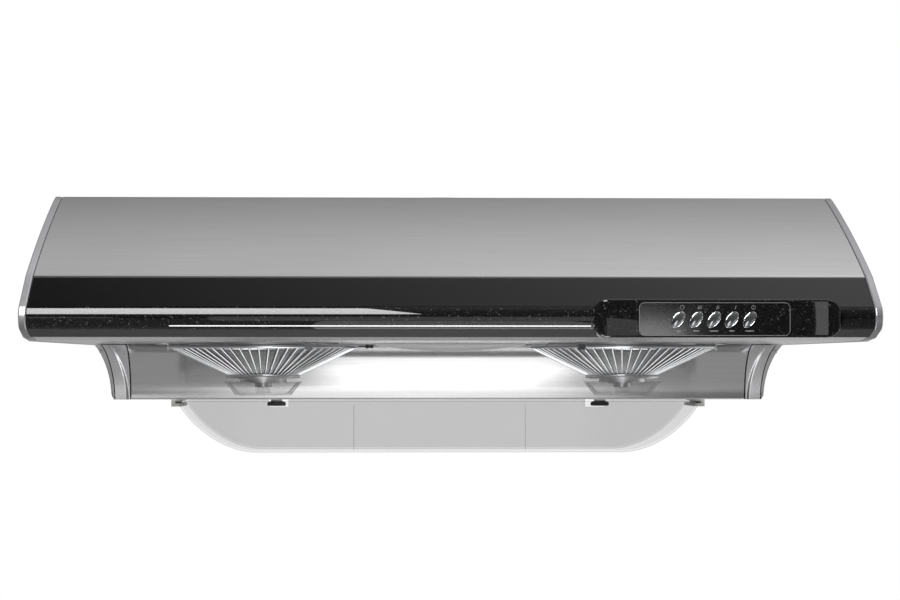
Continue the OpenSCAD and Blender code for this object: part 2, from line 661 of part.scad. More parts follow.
top_panel();
front_cover();
back_panel();
side_panel(-1);  // side_panel_left
side_panel(1);  // side_panel_right
end_cap(-1);  // end_cap_left
end_cap(1);  // end_cap_right
lower_shell();
bottom_pan();
side_fairing(-1);  // side_fairing_left
side_fairing(1);  // side_fairing_right
corner_trim(-1);  // corner_trim_left
corner_trim(1);  // corner_trim_right
fascia_strip();
front_bumper();
control_pod();
control_overlay();
button_bezels();
button(0);  // button_light
button(1);  // button_high
button(2);  // button_medium
button(3);  // button_low
button(4);  // button_power
switch_block();
blower_housing(-1);  // blower_housing_left
blower_housing(1);  // blower_housing_right
impeller(-1);  // impeller_left
impeller(1);  // impeller_right
shaft(-1);  // shaft_left
shaft(1);  // shaft_right
motor(-1);  // motor_left
motor(1);  // motor_right
motor_bracket(-1);  // motor_bracket_left
motor_bracket(1);  // motor_bracket_right
inlet_ring(-1);  // inlet_ring_left
inlet_ring(1);  // inlet_ring_right
exhaust_box();
outlet_collar();
damper_spindle();
damper_flap(-1);  // damper_flap_left
damper_flap(1);  // damper_flap_right
grille(-1);  // grille_left
grille(1);  // grille_right
grille_plate(-1);  // grille_plate_left
grille_plate(1);  // grille_plate_right
oil_cup(-1);  // oil_cup_left
oil_cup(1);  // oil_cup_right
grille_clips();
lamp_lens();
lamp_housing();
led_module();
terminal_box();
terminal_lid();
cable_grommet();
capacitors();
wiring_harness();
drain_spouts();
tray_rails();
oil_tray();
screws();
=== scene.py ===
import math

import bmesh
import bpy
from mathutils import Matrix, Quaternion, Vector


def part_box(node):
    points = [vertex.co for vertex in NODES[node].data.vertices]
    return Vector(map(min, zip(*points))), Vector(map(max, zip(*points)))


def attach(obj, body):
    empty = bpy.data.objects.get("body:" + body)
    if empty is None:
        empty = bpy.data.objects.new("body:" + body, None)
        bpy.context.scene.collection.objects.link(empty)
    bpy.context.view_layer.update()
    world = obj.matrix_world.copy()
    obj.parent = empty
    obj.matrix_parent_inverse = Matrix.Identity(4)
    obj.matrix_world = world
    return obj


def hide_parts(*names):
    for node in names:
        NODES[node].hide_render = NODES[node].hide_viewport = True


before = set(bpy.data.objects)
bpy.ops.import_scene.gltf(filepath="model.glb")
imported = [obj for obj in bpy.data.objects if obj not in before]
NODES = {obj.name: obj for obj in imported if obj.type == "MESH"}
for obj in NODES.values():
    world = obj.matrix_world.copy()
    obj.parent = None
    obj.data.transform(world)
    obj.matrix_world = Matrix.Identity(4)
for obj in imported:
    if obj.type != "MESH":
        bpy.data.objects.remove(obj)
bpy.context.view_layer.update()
MM = 0.001


# ---- Places, all taken from the frame ----

def low(node):
    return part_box(node)[0]


def high(node):
    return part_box(node)[1]


def middle(node):
    return (low(node) + high(node)) / 2


LENS_DROP = 8 * MM
Y_NOSE = low("front_bumper").y
Y_BACK = high("top_panel").y
Z_LOW = low("lamp_lens").z + LENS_DROP
Z_BOT = low("bottom_pan").z
X_IN = high("top_panel").x
X_CAP = high("end_cap_right").x
WALL_X = high("bottom_pan").x
DROP = Z_LOW - Z_BOT


def at(back, up):
    """A point of the side view (y, z), from millimetres behind the nose and above the underside."""
    return Vector((Y_NOSE + back * MM, Z_LOW + up * MM))


# ---- Mesh helpers ----

def add_object(name, mesh):
    obj = bpy.data.objects.new(name, mesh)
    bpy.context.scene.collection.objects.link(obj)
    return obj


def from_bmesh(name, bm, smooth=True):
    bmesh.ops.recalc_face_normals(bm, faces=bm.faces[:])
    mesh = bpy.data.meshes.new(name)
    bm.to_mesh(mesh)
    bm.free()
    if smooth:
        mesh.polygons.foreach_set("use_smooth", [True] * len(mesh.polygons))
    return add_object(name, mesh)


def soften(obj, width, segments=3, angle=28):
    """Rounds the sharp edges and keeps the flat faces flat."""
    bevel = obj.modifiers.new("edges", "BEVEL")
    bevel.width = width
    bevel.segments = segments
    bevel.limit_method = "ANGLE"
    bevel.angle_limit = math.radians(angle)
    bevel.harden_normals = True
    bevel.miter_outer = "MITER_ARC"
    return obj


def sharp_shading(obj, angle=30):
    """Smooth shading with a crease wherever two faces meet at more than angle."""
    obj.data.polygons.foreach_set("use_smooth", [True] * len(obj.data.polygons))
    split = obj.modifiers.new("creases", "EDGE_SPLIT")
    split.split_angle = math.radians(angle)
    return obj


def prism(name, outline, place, depth_from, depth_to):
    """A closed outline of 2D points, extruded between two depths. place(u, v, w) gives x, y, z."""
    bm = bmesh.new()
    near = [bm.verts.new(place(u, v, depth_from)) for u, v in outline]
    far = [bm.verts.new(place(u, v, depth_to)) for u, v in outline]
    bm.faces.new(near)
    bm.faces.new(far)
    count = len(outline)
    for i in range(count):
        j = (i + 1) % count
        bm.faces.new((near[i], near[j], far[j], far[i]))
    return from_bmesh(name, bm)


def side_view(u, v, w):
    return (w, u, v)


def front_view(u, v, w):
    return (u, w, v)


def plan_view(u, v, w):
    return (u, v, w)


def rect(x0, y0, x1, y1):
    return [(x0, y0), (x1, y0), (x1, y1), (x0, y1)]


def arc(centre, radius, start, end, steps):
    """Points of an arc, with its angles in degrees."""
    x, y = centre[0], centre[1]
    turns = [math.radians(start + (end - start) * i / steps) for i in range(steps + 1)]
    return [Vector((x + radius * math.cos(t), y + radius * math.sin(t))) for t in turns]


def shifted(path, distance):
    """An open path of 2D points moved sideways, to its left."""
    moved = []
    for i, p in enumerate(path):
        before, after = path[max(i - 1, 0)], path[min(i + 1, len(path) - 1)]
        along = (after - before).normalized()
        moved.append(p + distance * Vector((-along.y, along.x)))
    return moved


def band(path, thickness):
    return path + shifted(path, thickness)[::-1]


def loft(name, rings, endless=False):
    """Skins closed rings of equal numbers of points, and closes both ends.

    An endless loft joins its last ring to its first instead."""
    bm = bmesh.new()
    rows = [[bm.verts.new(p) for p in ring] for ring in rings]
    for a, b in zip(rows, rows[1:] + (rows[:1] if endless else [])):
        for k in range(len(a)):
            n = (k + 1) % len(a)
            bm.faces.new((a[k], a[n], b[n], b[k]))
    if not endless:
        bm.faces.new(rows[0])
        bm.faces.new(rows[-1])
    return from_bmesh(name, bm)


def lathe(name, profile, centre, segments=96, closed=False):
    """Turns (radius, z) points round a vertical axis. Radii of 0 close on the axis."""
    bm = bmesh.new()
    rings = []
    for radius, z in profile:
        if radius <= 0:
            rings.append([bm.verts.new((centre[0], centre[1], z))])
            continue
        rings.append([
            bm.verts.new((centre[0] + radius * math.cos(t), centre[1] + radius * math.sin(t), z))
            for t in (2 * math.pi * k / segments for k in range(segments))
        ])
    for a, b in zip(rings, rings[1:] + (rings[:1] if closed else [])):
        for k in range(segments):
            n = (k + 1) % segments
            corners = [a[k % len(a)], a[n % len(a)], b[n % len(b)], b[k % len(b)]]
            unique = list(dict.fromkeys(corners))
            if len(unique) > 2:
                bm.faces.new(unique)
    return from_bmesh(name, bm)


def cut(obj, cutter):
    """Takes cutter out of obj and applies the result."""
    boolean = obj.modifiers.new("cut", "BOOLEAN")
    boolean.operation = "DIFFERENCE"
    boolean.solver = "EXACT"
    boolean.object = cutter
    bake_modifiers(obj)
    bpy.data.objects.remove(cutter)
    return obj


def bake_modifiers(obj):
    shape = obj.evaluated_get(bpy.context.evaluated_depsgraph_get())
    mesh = bpy.data.meshes.new_from_object(shape)
    obj.modifiers.clear()
    obj.data = mesh
    return obj


def joined(name, parts):
    """Joins several pieces into the first one, under a new name."""
    bpy.ops.object.select_all(action="DESELECT")
    for part in parts:
        part.select_set(True)
    bpy.context.view_layer.objects.active = parts[0]
    bpy.ops.object.join()
    parts[0].name = name
    return parts[0]


# ---- Materials ----

class Shader:
    """A Principled material, with short calls for the nodes that feed it."""

    def __init__(self, name, color, roughness, metallic=0.0, **sockets):
        self.material = bpy.data.materials.new(name)
        self.material.use_nodes = True
        self.tree = self.material.node_tree
        self.bsdf = self.tree.nodes["Principled BSDF"]
        self.bsdf.inputs["Base Color"].default_value = (*color, 1)
        self.bsdf.inputs["Roughness"].default_value = roughness
        self.bsdf.inputs["Metallic"].default_value = metallic
        for socket, value in sockets.items():
            self.bsdf.inputs[socket.replace("_", " ")].default_value = value
        self.coords = self.tree.nodes.new("ShaderNodeTexCoord").outputs["Object"]

    def stretched(self, scale):
        mapping = self.tree.nodes.new("ShaderNodeMapping")
        mapping.inputs["Scale"].default_value = scale
        self.tree.links.new(self.coords, mapping.inputs["Vector"])
        return mapping.outputs["Vector"]

    def noise(self, scale, stretch=(1, 1, 1), detail=3.0):
        node = self.tree.nodes.new("ShaderNodeTexNoise")
        node.inputs["Scale"].default_value = scale
        node.inputs["Detail"].default_value = detail
        self.tree.links.new(self.stretched(stretch), node.inputs["Vector"])
        return node.outputs["Fac"]

    def cells(self, scale):
        """Small cells, each of its own random colour."""
        node = self.tree.nodes.new("ShaderNodeTexVoronoi")
        node.inputs["Scale"].default_value = scale
        self.tree.links.new(self.stretched((1, 1, 1)), node.inputs["Vector"])
        return node.outputs["Color"]

    def ramp(self, value, *stops):
        """A colour ramp from (position, grey or colour) stops."""
        node = self.tree.nodes.new("ShaderNodeValToRGB")
        band = node.color_ramp
        while len(band.elements) < len(stops):
            band.elements.new(0.5)
        for element, (position, shade) in zip(band.elements, stops):
            element.position = position
            element.color = (*shade, 1) if isinstance(shade, tuple) else (shade, shade, shade, 1)
        self.tree.links.new(value, node.inputs["Fac"])
        return node.outputs["Color"]

    def feed(self, socket, value):
        self.tree.links.new(value, self.bsdf.inputs[socket])
        return self

    def bump(self, height, strength, distance=0.0002):
        node = self.tree.nodes.new("ShaderNodeBump")
        node.inputs["Strength"].default_value = strength
        node.inputs["Distance"].default_value = distance
        self.tree.links.new(height, node.inputs["Height"])
        self.tree.links.new(node.outputs["Normal"], self.bsdf.inputs["Normal"])
        return self


def shades(base, spread):
    """Two stops round a grey or a colour, for a small change of tone."""
    color = base if isinstance(base, tuple) else (base, base, base)
    darker = tuple(c * (1 - spread) for c in color)
    lighter = tuple(min(1, c * (1 + spread)) for c in color)
    return (0.3, darker), (0.7, lighter)


def brushed(name, grey, roughness, stretch, grain=0.06, metallic=1.0):
    """Steel with a fine grain drawn out along one direction."""
    color = (grey, grey, grey * 1.01)
    s = Shader(name, color, roughness, metallic)
    lines = s.noise(900, stretch, detail=4)
    clouds = s.noise(9, detail=2)
    s.feed("Base Color", s.ramp(lines, *shades(color, grain)))
    s.feed("Roughness", s.ramp(clouds, (0.3, roughness * 0.95), (0.7, roughness * 1.05)))
    return s.bump(lines, 0.12, 0.0001).material


def moulded(name, color, roughness, grain=1400, strength=0.15, spread=0.06, **sockets):
    """Moulded plastic or paint with a fine skin texture and slight change of tone."""
    s = Shader(name, color, roughness, **sockets)
    s.feed("Base Color", s.ramp(s.noise(14, detail=4), *shades(color, spread)))
    s.feed("Roughness", s.ramp(s.noise(60, detail=3), (0.3, roughness * 0.9), (0.7, roughness * 1.12)))
    return s.bump(s.noise(grain, detail=2), strength, 0.0001).material


def plated(name, color, roughness, grain=300, strength=0.03, spread=0.02):
    """Bright plated metal, almost smooth."""
    return moulded(name, color, roughness, grain, strength, spread, metallic=1.0)


def metal_flake(name, blur):
    """Gloss black lacquer over fine, faint flakes."""
    s = Shader(name, INK, 0.42, Coat_Weight=1.0, Coat_Roughness=blur, Coat_IOR=1.35, Specular_IOR_Level=0.0)
    fine = s.noise(2300, detail=1)
    split = s.tree.nodes.new("ShaderNodeSeparateColor")
    s.tree.links.new(s.cells(900), split.inputs["Color"])
    dust = s.ramp(fine, (0.48, 0.0004), (0.6, 0.004), (0.76, 0.022))
    sparks = s.ramp(split.outputs["Red"], (0.88, 0.0), (0.96, 0.005), (1.0, 0.03))
    add = s.tree.nodes.new("ShaderNodeMix")
    add.data_type = "RGBA"
    add.blend_type = "ADD"
    add.inputs["Factor"].default_value = 1
    s.tree.links.new(dust, add.inputs["A"])
    s.tree.links.new(sparks, add.inputs["B"])
    s.feed("Base Color", add.outputs["Result"])
    return s.bump(fine, 0.15, 0.0001).material


def clear_plastic(name, tint, roughness, alpha, edge_alpha):
    """Thin clear plastic, a little scuffed, with another alpha where it is seen edge on."""
    s = Shader(name, tint, roughness)
    facing = s.tree.nodes.new("ShaderNodeLayerWeight")
    s.feed("Alpha", s.ramp(facing.outputs["Facing"], (0.0, alpha), (0.65, alpha), (0.95, edge_alpha)))
    s.feed("Base Color", s.ramp(s.noise(22, detail=4), *shades(tint, 0.03)))
    s.feed("Roughness", s.ramp(s.noise(45, detail=4), (0.3, roughness * 0.6), (0.75, roughness * 1.6)))
    return s.bump(s.noise(160, detail=3), 0.08, 0.0002).material


INK = (0.001, 0.001, 0.001)
SMOKE = (0.05, 0.05, 0.05)
# Grain drawn out from side to side, from front to back, and upwards.
ACROSS, INWARDS, UPRIGHT = (0.012, 1, 1), (1, 0.02, 1), (1, 1, 0.03)

COVER = brushed("cover_steel", 0.46, 0.28, ACROSS)
SHELL = brushed("shell_steel", 0.62, 0.18, ACROSS)
CEILING = brushed("ceiling_steel", 0.45, 0.25, ACROSS, grain=0.03)
# Pale and only partly metallic: besides the steel's own grain, this colour paints in the white highlight
# along the pan's front hem.
PAN = brushed("pan_steel_painted_highlight", 0.8, 0.45, ACROSS, grain=0.03, metallic=0.35)
UNDERSIDE = moulded("underside_black", (0.003, 0.003, 0.003), 0.35, Specular_IOR_Level=0.2)
PANEL = brushed("panel_steel", 0.5, 0.4, INWARDS)
STRIP = moulded("strip_black", INK, 0.15, strength=0.03, spread=0.1, Specular_IOR_Level=0.22)
FLAKE = metal_flake("flake_black", 0.02)
FILM = metal_flake("flake_film", 0.09)
CAP = moulded("cap_silver", (0.3, 0.3, 0.31), 0.3, metallic=0.85)
FAIRING = moulded("fairing_silver", (0.58, 0.58, 0.59), 0.3, metallic=0.8)
CHROME = plated("chrome", (0.7, 0.71, 0.72), 0.09)
# Lighter and darker copies of the chrome: a painted highlight on the bezels' rims and painted shade on the
# buttons' domes.
HIGHLIT_CHROME = plated("chrome_painted_highlight", (0.92, 0.92, 0.93), 0.15)
SHADED_CHROME = plated("chrome_painted_shade", (0.45, 0.46, 0.47), 0.06, strength=0.02)
WIRE = plated("plated_wire", (0.68, 0.69, 0.7), 0.16, grain=900, strength=0.08, spread=0.05)
PLATE = moulded("plated_steel", (0.68, 0.68, 0.69), 0.3, metallic=0.8)
GREY_PLASTIC = moulded("grey_plastic", (0.3, 0.3, 0.31), 0.5)
# White nylon for the switch block, lamp module and rails; on the spouts' necks its pale colour is a painted
# highlight.
NYLON_AND_NECK_HIGHLIGHT = moulded("white_nylon_and_painted_highlight", (0.72, 0.72, 0.69), 0.5)
BLACK_NYLON = moulded("black_nylon", (0.025, 0.025, 0.027), 0.45)
ENAMEL = moulded("motor_enamel", (0.05, 0.05, 0.055), 0.4, metallic=0.2)
RUBBER = moulded("black_rubber", (0.02, 0.02, 0.02), 0.7, strength=0.3)
LENS = moulded("frosted_lens", (0.42, 0.42, 0.42), 0.35, grain=500, strength=0.1, spread=0.02)
MARK = moulded("printed_mark", (0.5, 0.5, 0.5), 0.4, strength=0.05)
TRAY = clear_plastic("tray_clear", SMOKE, 0.07, 0.21, 0.3)
TRAY_FRONT = clear_plastic("tray_front", SMOKE, 0.07, 0.1, 0.3)
TRAY_FLOOR = clear_plastic("tray_floor", SMOKE, 0.07, 0.24, 0.08)
TRAY_RIM = clear_plastic("tray_rim", (0.04, 0.04, 0.04), 0.2, 0.3, 0.3)
CUP = clear_plastic("cup_clear", (0.03, 0.03, 0.03), 0.07, 0.08, 0.75)
ALUMINIUM = brushed("aluminium", 0.66, 0.36, UPRIGHT)


def dressed(obj, material):
    obj.data.materials.clear()
    obj.data.materials.append(material)
    return obj


def finish_piece(obj, material, body, slot, *replaced):
    """Gives a piece its material and its body, and hides the nodes it stands for. The slot argument is not
    used.

    A material of None keeps those that the piece already has."""
    if material:
        dressed(obj, material)
    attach(obj, body)
    if replaced:
        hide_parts(*replaced)
    return obj


NODE_LOOKS = {
    PANEL: ("top_panel", "back_panel", "side_panel_left", "side_panel_right", "exhaust_box",
            "blower_housing_left", "blower_housing_right", "motor_bracket_left", "motor_bracket_right",
            "inlet_ring_left", "inlet_ring_right", "terminal_box", "terminal_lid"),
    CHROME: ("shaft_left", "shaft_right", "damper_spindle", "screws"),
    PLATE: ("grille_plate_left", "grille_plate_right"),
    GREY_PLASTIC: ("outlet_collar", "damper_flap_left", "damper_flap_right"),
    NYLON_AND_NECK_HIGHLIGHT: ("switch_block", "led_module", "tray_rails"),
    BLACK_NYLON: ("impeller_left", "impeller_right"),
    ENAMEL: ("motor_left", "motor_right"),
    RUBBER: ("cable_grommet", "wiring_harness"),
    ALUMINIUM: ("lamp_housing", "capacitors"),
}


def dress_frame():
    for material, names in NODE_LOOKS.items():
        for name in names:
            sharp_shading(dressed(NODES[name], material))


# ---- Front ----

NOSE_R = 12 * MM
NOSE_C = at(12, 20)
NOSE = arc(NOSE_C, NOSE_R, 134, 253.5, 40)
STRIP_LOW = NOSE[0]
STRIP_TOP = at(42, 56.8)
COVER_TOP = Vector((STRIP_TOP.x + 186 * MM, 0))
COVER_BOW = 3.5 * MM
ROLL_R = 1.8 * MM
FOLD_R = 5 * MM
FRONT_X = X_IN - 0.4 * MM
SHEET = 1 * MM
UNDER_NOSE = at(28, 2.7)
CANOPY_EDGE = at(60, 0)


def bowed(a, b, bow, steps):
    """An arc from a to b that bows out to the left by bow."""
    chord = b - a
    outward = Vector((-chord.y, chord.x)).normalized()
    radius = (chord.length / 2) ** 2 / (2 * bow) + bow / 2
    centre = (a + b) / 2 - (radius - bow) * outward
    start = math.degrees(math.atan2(a.y - centre.y, a.x - centre.x))
    end = math.degrees(math.atan2(b.y - centre.y, b.x - centre.x))
    return arc(centre, radius, start, end, steps)


COVER_ARC = bowed(STRIP_TOP, COVER_TOP, COVER_BOW, 40)


def make_cover():
    """The curved cover: it rolls inwards along the strip and folds flat over the top."""
    start = COVER_ARC[0]
    along = (COVER_ARC[1] - COVER_ARC[0]).normalized()
    inward = Vector((along.y, -along.x))
    first = math.degrees(math.atan2(-inward.y, -inward.x))
    roll = arc(start + ROLL_R * inward, ROLL_R, first + 170, first, 14)
    path = roll + COVER_ARC[1:-1]
    fold = arc(Vector((COVER_TOP.x + 1.2 * MM, COVER_TOP.y - FOLD_R)), FOLD_R, 112, 90, 6)
    path += fold + [Vector((COVER_TOP.x + 20 * MM, 0))]
    cover = prism("cover_skin", band(path, -SHEET), side_view, -FRONT_X, FRONT_X)
    sharp_shading(cover, 35)
    return finish_piece(cover, COVER, "hood", "steel", "front_cover")


def make_strip():
    along = (STRIP_TOP - STRIP_LOW).normalized()
    path = [STRIP_LOW + 0.35 * MM * along, STRIP_TOP - 2.6 * MM * along]
    strip = prism("strip_skin", band(path, -3 * MM), side_view, -FRONT_X, FRONT_X)
    soften(strip, 0.5 * MM)
    return finish_piece(strip, STRIP, "hood", "strip", "fascia_strip")


def make_bumper():
    """The round nose, with a window for the switch block, and its plain tail under the canopy."""
    wall = 2.5 * MM
    bumper = prism("bumper_skin", band(NOSE, wall), side_view, -FRONT_X, FRONT_X)
    lo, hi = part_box("switch_block")
    opening = rect(lo.x + 8 * MM, Z_LOW + 9.4 * MM, hi.x - 8 * MM, Z_LOW + 25.4 * MM)
    cut(bumper, prism("window", opening, front_view, Y_NOSE - 2 * MM, Y_NOSE + 14 * MM))
    tail = prism("tail", band([NOSE[-1], UNDER_NOSE], wall), side_view, -FRONT_X, FRONT_X)
    bumper = joined(bumper.name, [dressed(bumper, FLAKE), dressed(tail, UNDERSIDE)])
    sharp_shading(bumper, 35)
    return finish_piece(bumper, None, "hood", "bumper", "front_bumper")


# ---- End caps ----

def clamped(p):
    return Vector((min(p.x, Y_BACK), min(p.y, 0)))


def make_end_caps():
    """Two flat caps that follow the front's outline, a little proud of it."""
    back_low, back_top = Vector((Y_BACK, Z_LOW)), Vector((Y_BACK, 0))
    crown_r = 9 * MM
    crown = arc(Vector((COVER_TOP.x + 3.2 * MM, -crown_r)), crown_r, 114, 90, 8)
    front = [p for p in COVER_ARC[::-1] if p.x < crown[0].x]
    path = crown[::-1] + front[1:] + NOSE + [UNDER_NOSE, at(44, 1.4), CANOPY_EDGE]
    outer = [clamped(p) for p in shifted(path, -0.8 * MM)]
    outline = outer + [back_low, back_top]
    for side, name in ((-1, "end_cap_left"), (1, "end_cap_right")):
        cap = prism(name + "_skin", outline, side_view, side * X_IN, side * X_CAP)
        soften(cap, 1.6 * MM, 4, 40)
        finish_piece(cap, CAP, "hood", "end_cap", name)


# ---- Control pod ----

BUTTONS = ("light", "high", "medium", "low", "power")
POD_LO, POD_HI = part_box("control_pod")
POD_FACE = POD_LO.y
POD_BACK = Y_NOSE + 21 * MM
FILM_LO, FILM_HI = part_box("control_overlay")
FILM_R = 5 * MM
PRINT = 0.1 * MM
SIGN_SHIFT = 3.4 * MM
# The buttons' lean in degrees, and the half widths and heights of the ovals round them.
LEAN = 36
POD_HOLE = (3.85 * MM, 7.3 * MM)
FILM_HOLE = (4.8 * MM, 8.25 * MM)
BEZEL_OUTSIDE = (4.75 * MM, 8.2 * MM)
BEZEL_INSIDE = (3.87 * MM, 7.32 * MM)


def rounded_rect(x0, z0, x1, z1, radius, steps=8):
    corners = ((x1 - radius, z1 - radius, 0), (x0 + radius, z1 - radius, 90),
               (x0 + radius, z0 + radius, 180), (x1 - radius, z0 + radius, 270))
    return [p for x, z, turn in corners for p in arc((x, z), radius, turn, turn + 90, steps)]


def oval(centre, half_w, half_h, steps=48):
    """Points of an oval that leans to the right, in the front view."""
    turn = math.radians(-LEAN)
    points = []
    for k in range(steps):
        t = 2 * math.pi * k / steps
        u, v = half_w * math.cos(t), half_h * math.sin(t)
        points.append(Vector((centre[0] + u * math.cos(turn) - v * math.sin(turn),
                              centre[1] + u * math.sin(turn) + v * math.cos(turn))))
    return points


def button_centre(name):
    """The button's middle in the front view (x, z)."""
    place = middle("button_" + name)
    return Vector((place.x, place.z))


def pod_section(x):
    """The pod's cut at x: a rounded box from its face back into the bumper."""
    from_left, from_right = x - POD_LO.x, POD_HI.x - x
    mid, half = (POD_LO.z + POD_HI.z) / 2, (POD_HI.z - POD_LO.z) / 2
    left_r, right_r, plan_r = 11 * MM, half, 13 * MM
    height = half
    if from_left < left_r:
        height = half - left_r + math.sqrt(left_r ** 2 - (left_r - from_left) ** 2)
    if from_right < right_r:
        height = max(math.sqrt(right_r ** 2 - (right_r - from_right) ** 2), 0.4 * MM)
    end = min(from_left, from_right)
    setback = plan_r - math.sqrt(plan_r ** 2 - (plan_r - end) ** 2) if end < plan_r else 0
    face = POD_FACE + setback * 0.75
    edge = min(2.4 * MM, height * 0.45)
    ring = [(POD_BACK, mid - height), (POD_BACK, mid + height)]
    ring += [tuple(p) for p in arc((face + edge, mid + height - edge), edge, 90, 180, 7)]
    ring += [tuple(p) for p in arc((face + edge, mid - height + edge), edge, 180, 270, 7)]
    return [(x, y, z) for y, z in ring]


def make_pod():
    """The raised pod, in sections that crowd together towards its round ends."""
    left = [POD_LO.x + 14 * MM * (1 - math.cos(math.radians(a))) for a in range(0, 91, 6)]
    right = [POD_HI.x - 18 * MM * (1 - math.cos(math.radians(a))) for a in range(90, -1, -5)]
    pod = loft("pod_skin", [pod_section(x) for x in left + right])
    for name in BUTTONS:
        past_stem = high("button_" + name).y + 6 * MM
        hole = oval(button_centre(name), *POD_HOLE)
        cut(pod, prism("hole", hole, front_view, POD_FACE - 3 * MM, past_stem))
    sharp_shading(pod, 40)
    finish_piece(pod, FLAKE, "hood", "bumper", "control_pod")


def make_overlay():
    """The black film on the pod's face, its printed outline and its signs."""
    lo, hi, face = FILM_LO, FILM_HI, FILM_LO.y
    edge = rounded_rect(lo.x, lo.z, hi.x, hi.z, FILM_R)
    plate = prism("overlay_skin", edge, front_view, face, POD_FACE)
    for name in BUTTONS:
        hole = oval(button_centre(name), *FILM_HOLE)
        cut(plate, prism("hole", hole, front_view, face - MM, POD_FACE + MM))
    sharp_shading(plate, 40)
    finish_piece(plate, FILM, "hood", "overlay", "control_overlay")
    line = 0.52 * MM
    inside = rounded_rect(lo.x + line, lo.z + line, hi.x - line, hi.z - line, FILM_R - 0.9 * MM)
    outline = prism("overlay_outline", edge, front_view, face - 0.12 * MM, face + PRINT)
    cut(outline, prism("inside", inside, front_view, face - MM, face + MM))
    sharp_shading(outline, 40)
    finish_piece(outline, MARK, "hood", "overlay")
    make_signs()


def printed(outline):
    """A thin patch of print that straddles the film's face."""
    return prism("print", outline, front_view, FILM_LO.y - PRINT, FILM_LO.y + PRINT)


def bar(u, v, width, height, slant=0):
    """A small upright bar of print, leaning to the right by slant."""
    return printed([(u - width / 2 - slant, v - height / 2), (u + width / 2 - slant, v - height / 2),
                    (u + width / 2 + slant, v + height / 2), (u - width / 2 + slant, v + height / 2)])


def sign_ring(u, v, start, end):
    radius, line = 1.9 * MM, 0.5 * MM
    return printed(arc((u, v), radius, start, end, 20) + arc((u, v), radius - line, end, start, 20))


def make_signs():
    """Plain signs: a lamp, three speeds and a power ring, with a short dash under each button."""
    z_sign, z_dash = Z_LOW + 28.2 * MM, Z_LOW + 7.8 * MM
    sign_x = {name: button_centre(name).x + SIGN_SHIFT for name in BUTTONS}
    parts = [sign_ring(sign_x["light"], z_sign, -50, 230),
             bar(sign_x["light"], z_sign - 2 * MM, 1.5 * MM, 0.5 * MM)]
    for name, count in (("high", 3), ("medium", 2), ("low", 1)):
        for i in range(count):
            step = (i - (count - 1) / 2) * 1.3 * MM
            parts.append(bar(sign_x[name] + step, z_sign, 0.6 * MM, 3.2 * MM, slant=0.4 * MM))
    parts += [sign_ring(sign_x["power"], z_sign, -240, 60),
              bar(sign_x["power"], z_sign + 1.2 * MM, 0.55 * MM, 2 * MM)]
    for name, width in zip(BUTTONS, (4.4, 5.2, 7.2, 4.4, 7.6)):
        parts.append(bar(button_centre(name).x, z_dash, width * MM, 1.1 * MM))
    finish_piece(joined("signs", parts), MARK, "hood", "overlay")


def oval_loft(name, centre, rings, endless=False):
    """Leaning ovals skinned from (half width, half height, y) rings."""
    return loft(name, [[(p.x, y, p.y) for p in oval(centre, a, b)] for a, b, y in rings], endless)


def make_bezel(centre):
    """An upright oval bead round a button."""
    half_w, half_h, bead_r, rise = 4.3 * MM, 7.75 * MM, 0.45 * MM, 1.1 * MM
    bead_foot = POD_FACE - 0.4 * MM
    bead = []
    for turn in (math.radians(degrees) for degrees in range(0, 181, 15)):
        out = bead_r * math.cos(turn)
        bead.append((half_w + out, half_h + out, bead_foot - rise * math.sin(turn)))
    rings = [(*BEZEL_OUTSIDE, POD_FACE)] + bead + [(*BEZEL_INSIDE, POD_FACE)]
    return oval_loft("rim", centre, rings, endless=True)


def make_button(name, centre):
    """A shallow oval dome on a square stem, which slides back into the pod."""
    lo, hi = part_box("button_" + name)
    dome_back = POD_FACE + 3 * MM
    # Half width, half height and distance behind the button's foremost point.
    dome = ((3.6, 7.0, 1.4), (3.5, 6.9, 1.0), (3.2, 6.5, 0.72), (2.75, 5.75, 0.5), (2.2, 4.7, 0.28),
            (1.5, 3.3, 0.1), (0.7, 1.65, 0.02))
    rings = [(3.6 * MM, 7 * MM, dome_back)] + [(a * MM, b * MM, lo.y + back * MM) for a, b, back in dome]
    button = oval_loft("button_%s_skin" % name, centre, rings)
    sharp_shading(button, 50)
    x, z, half = centre.x, centre.y, 2 * MM
    square = rect(x - half, z - half, x + half, z + half)
    stem = prism("stem", square, front_view, dome_back - 0.1 * MM, hi.y)
    button = joined(button.name, [button, stem])
    # The buttons wear the darker chrome, which is painted shade.
    finish_piece(button, SHADED_CHROME, "button_" + name, "button", "button_" + name)


def make_buttons():
    rims = []
    for name in BUTTONS:
        centre = button_centre(name)
        rims.append(make_bezel(centre))
        make_button(name, centre)
    # The bezels wear the lighter chrome, which is a painted highlight.
    finish_piece(joined("bezels_skin", rims), HIGHLIT_CHROME, "hood", "button", "button_bezels")


# ---- Underbody ----

COVE_C = Vector((Y_BACK - 153 * MM, Z_BOT))
INLET_R = 65 * MM
SPOUT_R = 9.8 * MM
SPOUT_LO, SPOUT_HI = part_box("drain_spouts")
SPOUT_Y = middle("drain_spouts").y
SPOUTS = (SPOUT_LO.x + SPOUT_R, SPOUT_HI.x - SPOUT_R)
# Lines down the underbody's corners: the distance outside the steel wall, and the flare's radius.
CREASE = (4 * MM, 125 * MM)
FAIRING_EDGE = (16.7 * MM, 191 * MM)
TRIM_INSIDE = (17.9 * MM, 191 * MM)
TRIM_OUTSIDE = (21 * MM, 136 * MM)
CORNER_BACK = Y_BACK - 1.3 * MM


def flare(line, z):
    """X of a line that stands upright at the bottom edge and flares out towards the canopy."""
    outside, radius = line
    return WALL_X + outside + radius - math.sqrt(radius ** 2 - (z - Z_BOT) ** 2)


def cove_y(z):
    return COVE_C.x + math.sqrt(max(DROP ** 2 - (z - Z_BOT) ** 2, 0))


